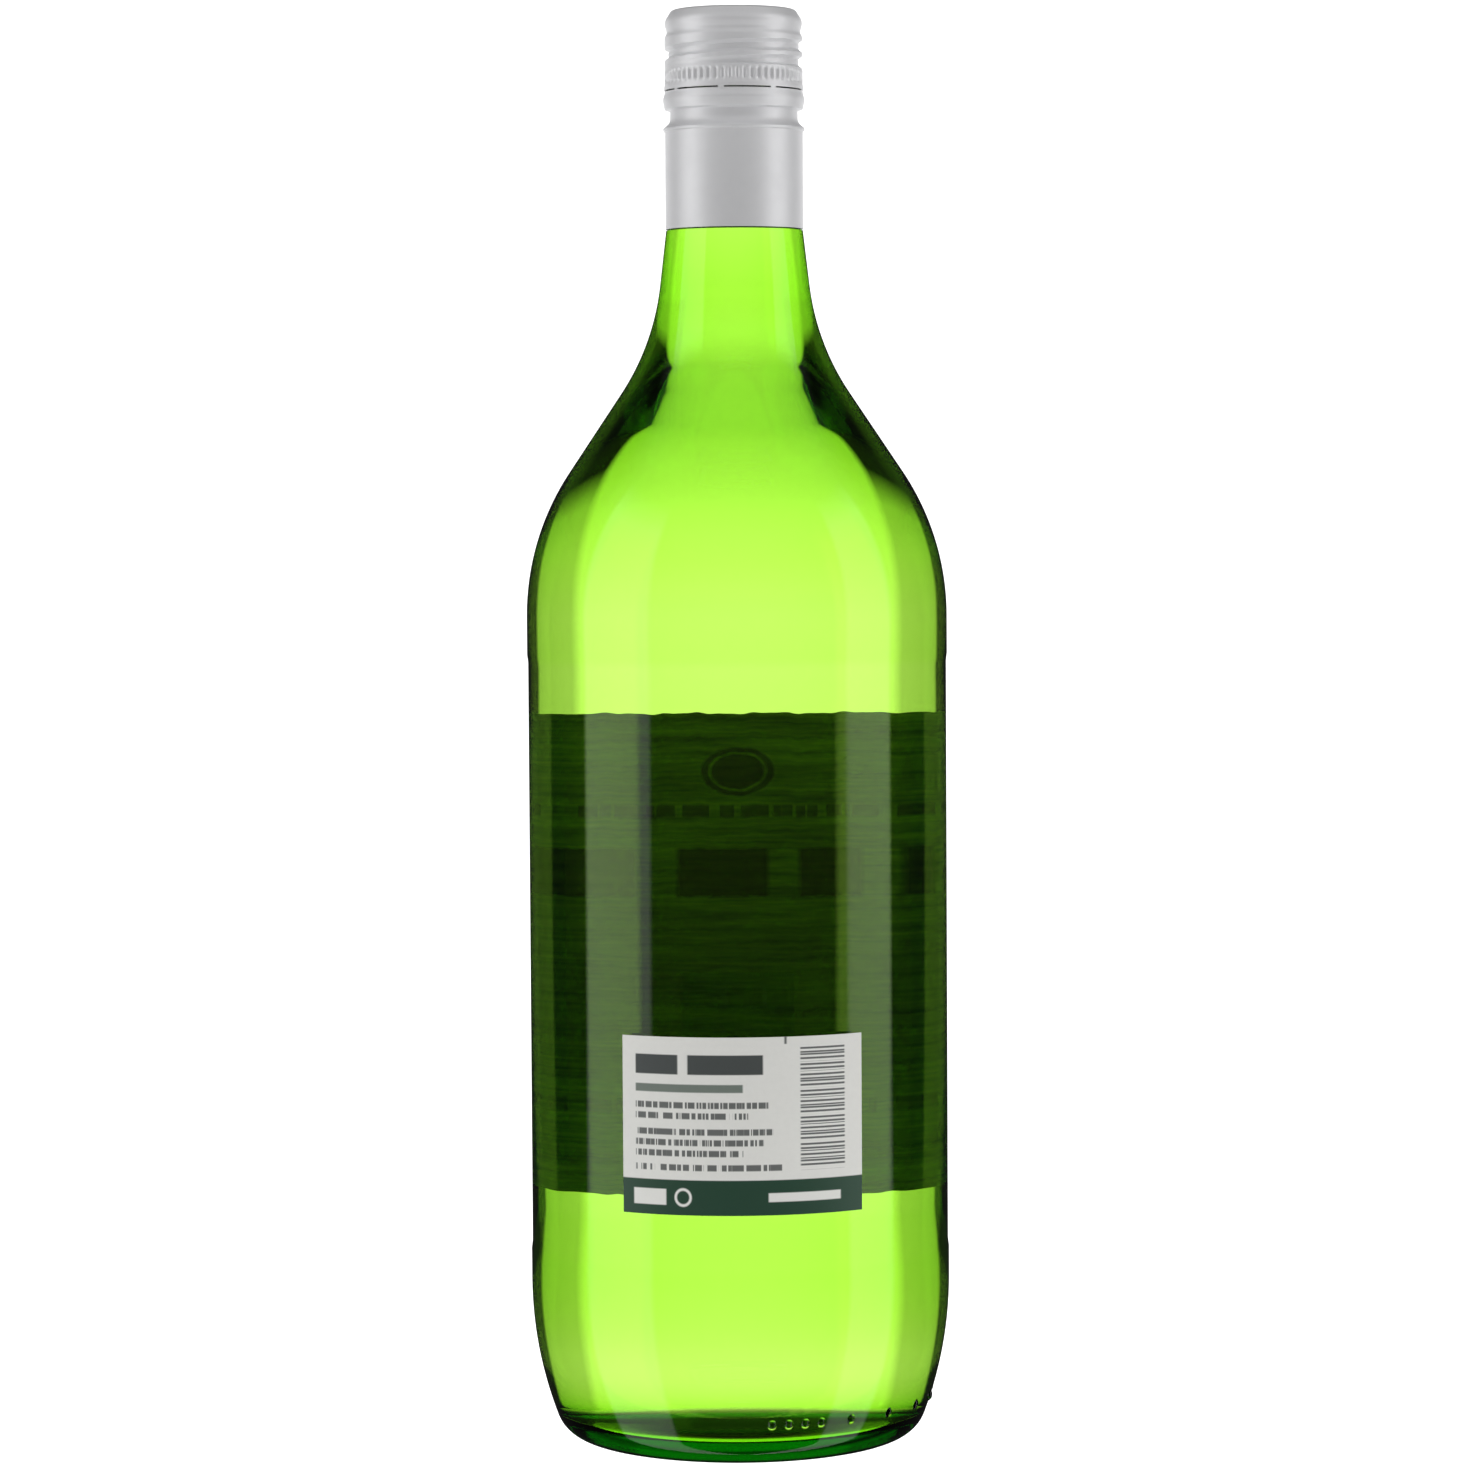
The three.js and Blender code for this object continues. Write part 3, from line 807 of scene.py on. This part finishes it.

# %% [markdown]
# The large label is dark green with a grain like weathered wood: long, thin, level streaks, darkest a
# little below the middle. Its glued face, seen from behind through the wine, has painted backlight: the
# light that thin paper lets through is painted into its colour, so it is paler and yellower than its
# outer face, and the print shows on it as darker shapes, which are painted shade. Outside, the print is
# pale. The streaks are a noise stretched along the label, and the print is an oval with a ring, two
# broken lines and a row of plain blocks. Which face a point is on follows from its distance to the axis.

# %% Front label print
# The glued-face colours are painted backlight: light through the paper painted in as pale yellow-green, with
# the print on that face painted dark as shade.
GLUED_BACKLIGHT_PAINTED_DARK, GLUED_BACKLIGHT_PAINTED_PALE = (0.16, 0.24, 0.025), (0.95, 1.0, 0.15)
WOOD_DARK, WOOD_PALE = (0.006, 0.025, 0.014), (0.07, 0.19, 0.10)
GLUED_PRINT_PAINTED_SHADE, OUTER_PRINT = (0.02, 0.04, 0.01), (0.62, 0.62, 0.52)
DARKEST_UP, DARKEST_SPREAD = 0.44, 0.26
OVAL_ACROSS, OVAL_UP, OVAL_HALF_WIDTH, OVAL_HALF_HEIGHT = 0.5, 0.88, 0.036, 0.05
FRONT_HEADING = tuple((left, right, 0.62, 0.72) for left, right in (
    (0.27, 0.35), (0.38, 0.44), (0.47, 0.56), (0.60, 0.66), (0.69, 0.76)))
UPPER_LINE, FOOT_LINE = (0.34, 0.66, 0.785, 0.81), (0.30, 0.70, 0.17, 0.20)


def wood_grain(start, across, up):
    long_streaks = start.node("ShaderNodeCombineXYZ", X=across * 6, Y=up * 34)
    fine_streaks = start.node("ShaderNodeCombineXYZ", X=across * 18 + 5, Y=up * 130)
    broad = start.node("ShaderNodeTexNoise", Vector=long_streaks, Scale=1.0, Detail=5.0)
    fine = start.node("ShaderNodeTexNoise", Vector=fine_streaks, Scale=1.0, Detail=2.0)
    return broad.over(0.5, 0.34) * 0.7 + fine.over(0.5, 0.4) * 0.3


def front_label_paper():
    material, start = start_material("dark_printed_paper")
    across, up = label_place(start)
    grain = wood_grain(start, across, up)
    shade = ((up - DARKEST_UP) / DARKEST_SPREAD).math("POWER", 2.0).math("MINIMUM", 1.0)
    outer = distance_from_axis(start).over((PANEL_RADIUS + PAPER_MIDDLE) * MM, 0.02 * MM)
    depth = grain * (0.55 + shade * 0.45)
    # Glued face: the grain in painted backlight colours and the print as painted shade. Outer face: the
    # label's own colours.
    grain_with_painted_backlight = outer.mix(depth.mix(GLUED_BACKLIGHT_PAINTED_DARK, GLUED_BACKLIGHT_PAINTED_PALE), depth.mix(WOOD_DARK, WOOD_PALE))
    ink_with_painted_shade = outer.mix(GLUED_PRINT_PAINTED_SHADE, OUTER_PRINT)
    oval_x = ((across - OVAL_ACROSS) / OVAL_HALF_WIDTH).math("POWER", 2.0)
    oval_y = ((up - OVAL_UP) / OVAL_HALF_HEIGHT).math("POWER", 2.0)
    oval = (oval_x + oval_y).math("SQRT")
    emblem = 1 - oval.over(1.0, 0.08)
    ring = oval.between(0.72, 0.82, 0.06)
    heading = blocks(across, up, FRONT_HEADING)
    small = small_print(start, across, up, *UPPER_LINE, 3.1)
    foot = small_print(start, across, up, *FOOT_LINE, 8.7)
    inked = (emblem * (1 - ring) + heading + small * 0.8 + foot * 0.5).math("MINIMUM", 1.0)
    bump = start.node("ShaderNodeBump", Height=grain, Strength=0.15, Distance=0.04 * MM)
    surface = start.node("ShaderNodeBsdfPrincipled", Base_Color=(inked * 0.85).mix(grain_with_painted_backlight, ink_with_painted_shade),
                         Roughness=0.7 - inked * 0.15, IOR=1.45, Normal=bump)
    close_material(start, surface)
    return material


finish_piece(front_label, front_label_paper(), "front_label")

# %% [markdown]
# The studio is plain: a bright white backdrop behind the bottle, a tall soft light on each side, a
# softer one overhead, and a pale floor. All the light is in the world's sky, as broad soft fields,
# because small lamps would print hard spots on the glass. Beyond the backdrop's edges the room is
# dark, and that dark draws the bottle's outline: near its edges the glass and wine bend the view far to
# the side. A real backdrop is small and near, so what shines through the bottle sees it, but what the
# bottle's flanks mirror passes beside it. A sky has no such nearness, so sharply mirrored rays get a
# ring of their own, with the side lights alone.

# %% Studio light
BACKDROP_LIGHT, BACKDROP_HALF_WIDTH = 1.5, 28
FLANK_LIGHT, FLANK_TO, FLANK_LOW, FLANK_LOW_SOFT = 0.95, 50, -22, 8
BACKDROP_SOFT = 3
BACKDROP_TOP, BACKDROP_TOP_SOFT = 15, 14
SIDE_LIGHT, SIDE_FROM, SIDE_TO, SIDE_TOP = 1.7, 84, 122, 40
MIRRORED_SIDE_LIGHT, MIRRORED_FROM, MIRRORED_LEFT_TO, MIRRORED_RIGHT_TO = 0.95, 88, 131, 118
MIRRORED_TOP_LIGHT, MIRRORED_ROOM_LIGHT = 0.2, 0.015
FRONT_LIGHT, FRONT_OPEN_LIGHT = 0.06, 0.42
FRONT_DARK_LOW, FRONT_DARK_HIGH = -13, 16
TOP_LIGHT, TOP_FROM, TOP_BACK_EDGE, TOP_BACK_SOFT = 0.55, 30, 80, 20
BELOW_SHARE, BELOW_FROM, BELOW_SOFT = 0.8, -20, 14
DEEP_DARK_FROM, DEEP_DARK_SOFT = -48, 20
ROOM_LIGHT, DARK_SHARE = 0.02, 0.03
HEIGHT_SOFT, FRONT_SOFT, SIDE_SOFT, MIRRORED_SOFT = 12, 5, 4, 3


def turn_from_back(y, level):
    """Degrees round from +Y, the backdrop's side."""
    return (y / level).math("ARCCOSINE") * (180 / math.pi)


def back_light(turn, height):
    """Backdrop and its dimmer flanks, which don't reach as far down."""
    backdrop = (1 - turn.over(BACKDROP_HALF_WIDTH, BACKDROP_SOFT)) * BACKDROP_LIGHT
    flank = turn.between(BACKDROP_HALF_WIDTH, FLANK_TO, BACKDROP_SOFT)
    flank = flank * height.over(FLANK_LOW, FLANK_LOW_SOFT) * FLANK_LIGHT
    above = height.over(BACKDROP_TOP, BACKDROP_TOP_SOFT)
    return (backdrop + flank) * (1 - above * (1 - DARK_SHARE))


def mirrored_share(start):
    """1 on a ray that a smooth surface has just mirrored, and 0 on any other."""
    path = start.node("ShaderNodeLightPath", output="Is Reflection Ray")
    return path * path.part("Is Singular Ray")


def studio_world():
    world = bpy.data.worlds.new("studio")
    start = start_tree(world)
    direction = start.node("ShaderNodeTexCoord", output="Generated")
    split = start.node("ShaderNodeSeparateXYZ", i0=direction)
    x, y, z = split.part("X"), split.part("Y"), split.part("Z")
    turn = turn_from_back(y, (x * x + y * y).math("SQRT"))
    height = z.math("ARCSINE") * (180 / math.pi)
    below = height.over(BELOW_FROM, BELOW_SOFT) * (1 - BELOW_SHARE) + BELOW_SHARE
    below = below * (height.over(DEEP_DARK_FROM, DEEP_DARK_SOFT) * (1 - DARK_SHARE) + DARK_SHARE)
    side_height = 1 - height.over(SIDE_TOP, HEIGHT_SOFT)
    side = turn.between(SIDE_FROM, SIDE_TO, SIDE_SOFT) * side_height * SIDE_LIGHT
    front_open = (1 - height.between(FRONT_DARK_LOW, FRONT_DARK_HIGH, FRONT_SOFT)) * FRONT_OPEN_LIGHT
    overhead = height.over(TOP_FROM, HEIGHT_SOFT)
    front = turn.over(SIDE_TO, FRONT_SOFT) * (1 - overhead) * (front_open + FRONT_LIGHT)
    top = overhead * turn.over(TOP_BACK_EDGE, TOP_BACK_SOFT)
    light = back_light(turn, height) * below + side + front + top * TOP_LIGHT + ROOM_LIGHT
    mirrored_to = MIRRORED_LEFT_TO + x.over(0, 0.02) * (MIRRORED_RIGHT_TO - MIRRORED_LEFT_TO)
    mirrored_ring = turn.over(MIRRORED_FROM, MIRRORED_SOFT) * (1 - turn.over(mirrored_to, MIRRORED_SOFT))
    mirrored_side = mirrored_ring * side_height
    mirrored_light = mirrored_side * MIRRORED_SIDE_LIGHT + top * MIRRORED_TOP_LIGHT + MIRRORED_ROOM_LIGHT
    mirrored = mirrored_share(start)
    seen = start.node("ShaderNodeLightPath", output="Is Camera Ray")
    unseen_light = light * (1 - mirrored) + mirrored_light * mirrored
    strength = unseen_light * (1 - seen) + seen * BACKDROP_LIGHT
    background = start.node("ShaderNodeBackground", Color=(1, 1, 1, 1), Strength=strength)
    end = start.tree.nodes.new("ShaderNodeOutputWorld")
    start.tree.links.new(background.socket, end.inputs["Surface"])
    bpy.context.scene.world = world


studio_world()
print("backdrop", BACKDROP_LIGHT, "side lights", SIDE_LIGHT)

# %% [markdown]
# The floor is a pale disc that the camera sees as plain white, and it lights the cap and labels from
# below. Rays that pass through the glass or mirror in it skip the disc and see the sky's lower half
# instead, which fades to dark straight down, as a floor does under a bottle that stands in its own
# shade. On the disc itself that shade would show as a hard ring in the heel.

# %% Floor
FLOOR_RADIUS, FLOOR_DROP = 0.45, 0.05 * MM
FLOOR_LIGHT = 0.8


def pale_floor():
    material, start = start_material("pale_floor")
    seen = start.node("ShaderNodeLightPath", output="Is Camera Ray")
    light = FLOOR_LIGHT + seen * (BACKDROP_LIGHT - FLOOR_LIGHT)
    surface = start.node("ShaderNodeBsdfPrincipled", Base_Color=(0.2, 0.2, 0.2, 1), Roughness=0.9,
                         Emission_Color=(1, 1, 1, 1), Emission_Strength=light)
    close_material(start, surface)
    return material


deselect_all()
bpy.ops.mesh.primitive_circle_add(vertices=96, radius=FLOOR_RADIUS, fill_type="NGON")
floor = bpy.context.object
floor.name = "floor"
floor.location.z = -FLOOR_DROP
floor.visible_transmission = False
floor.visible_glossy = False
floor.data.materials.append(pale_floor())
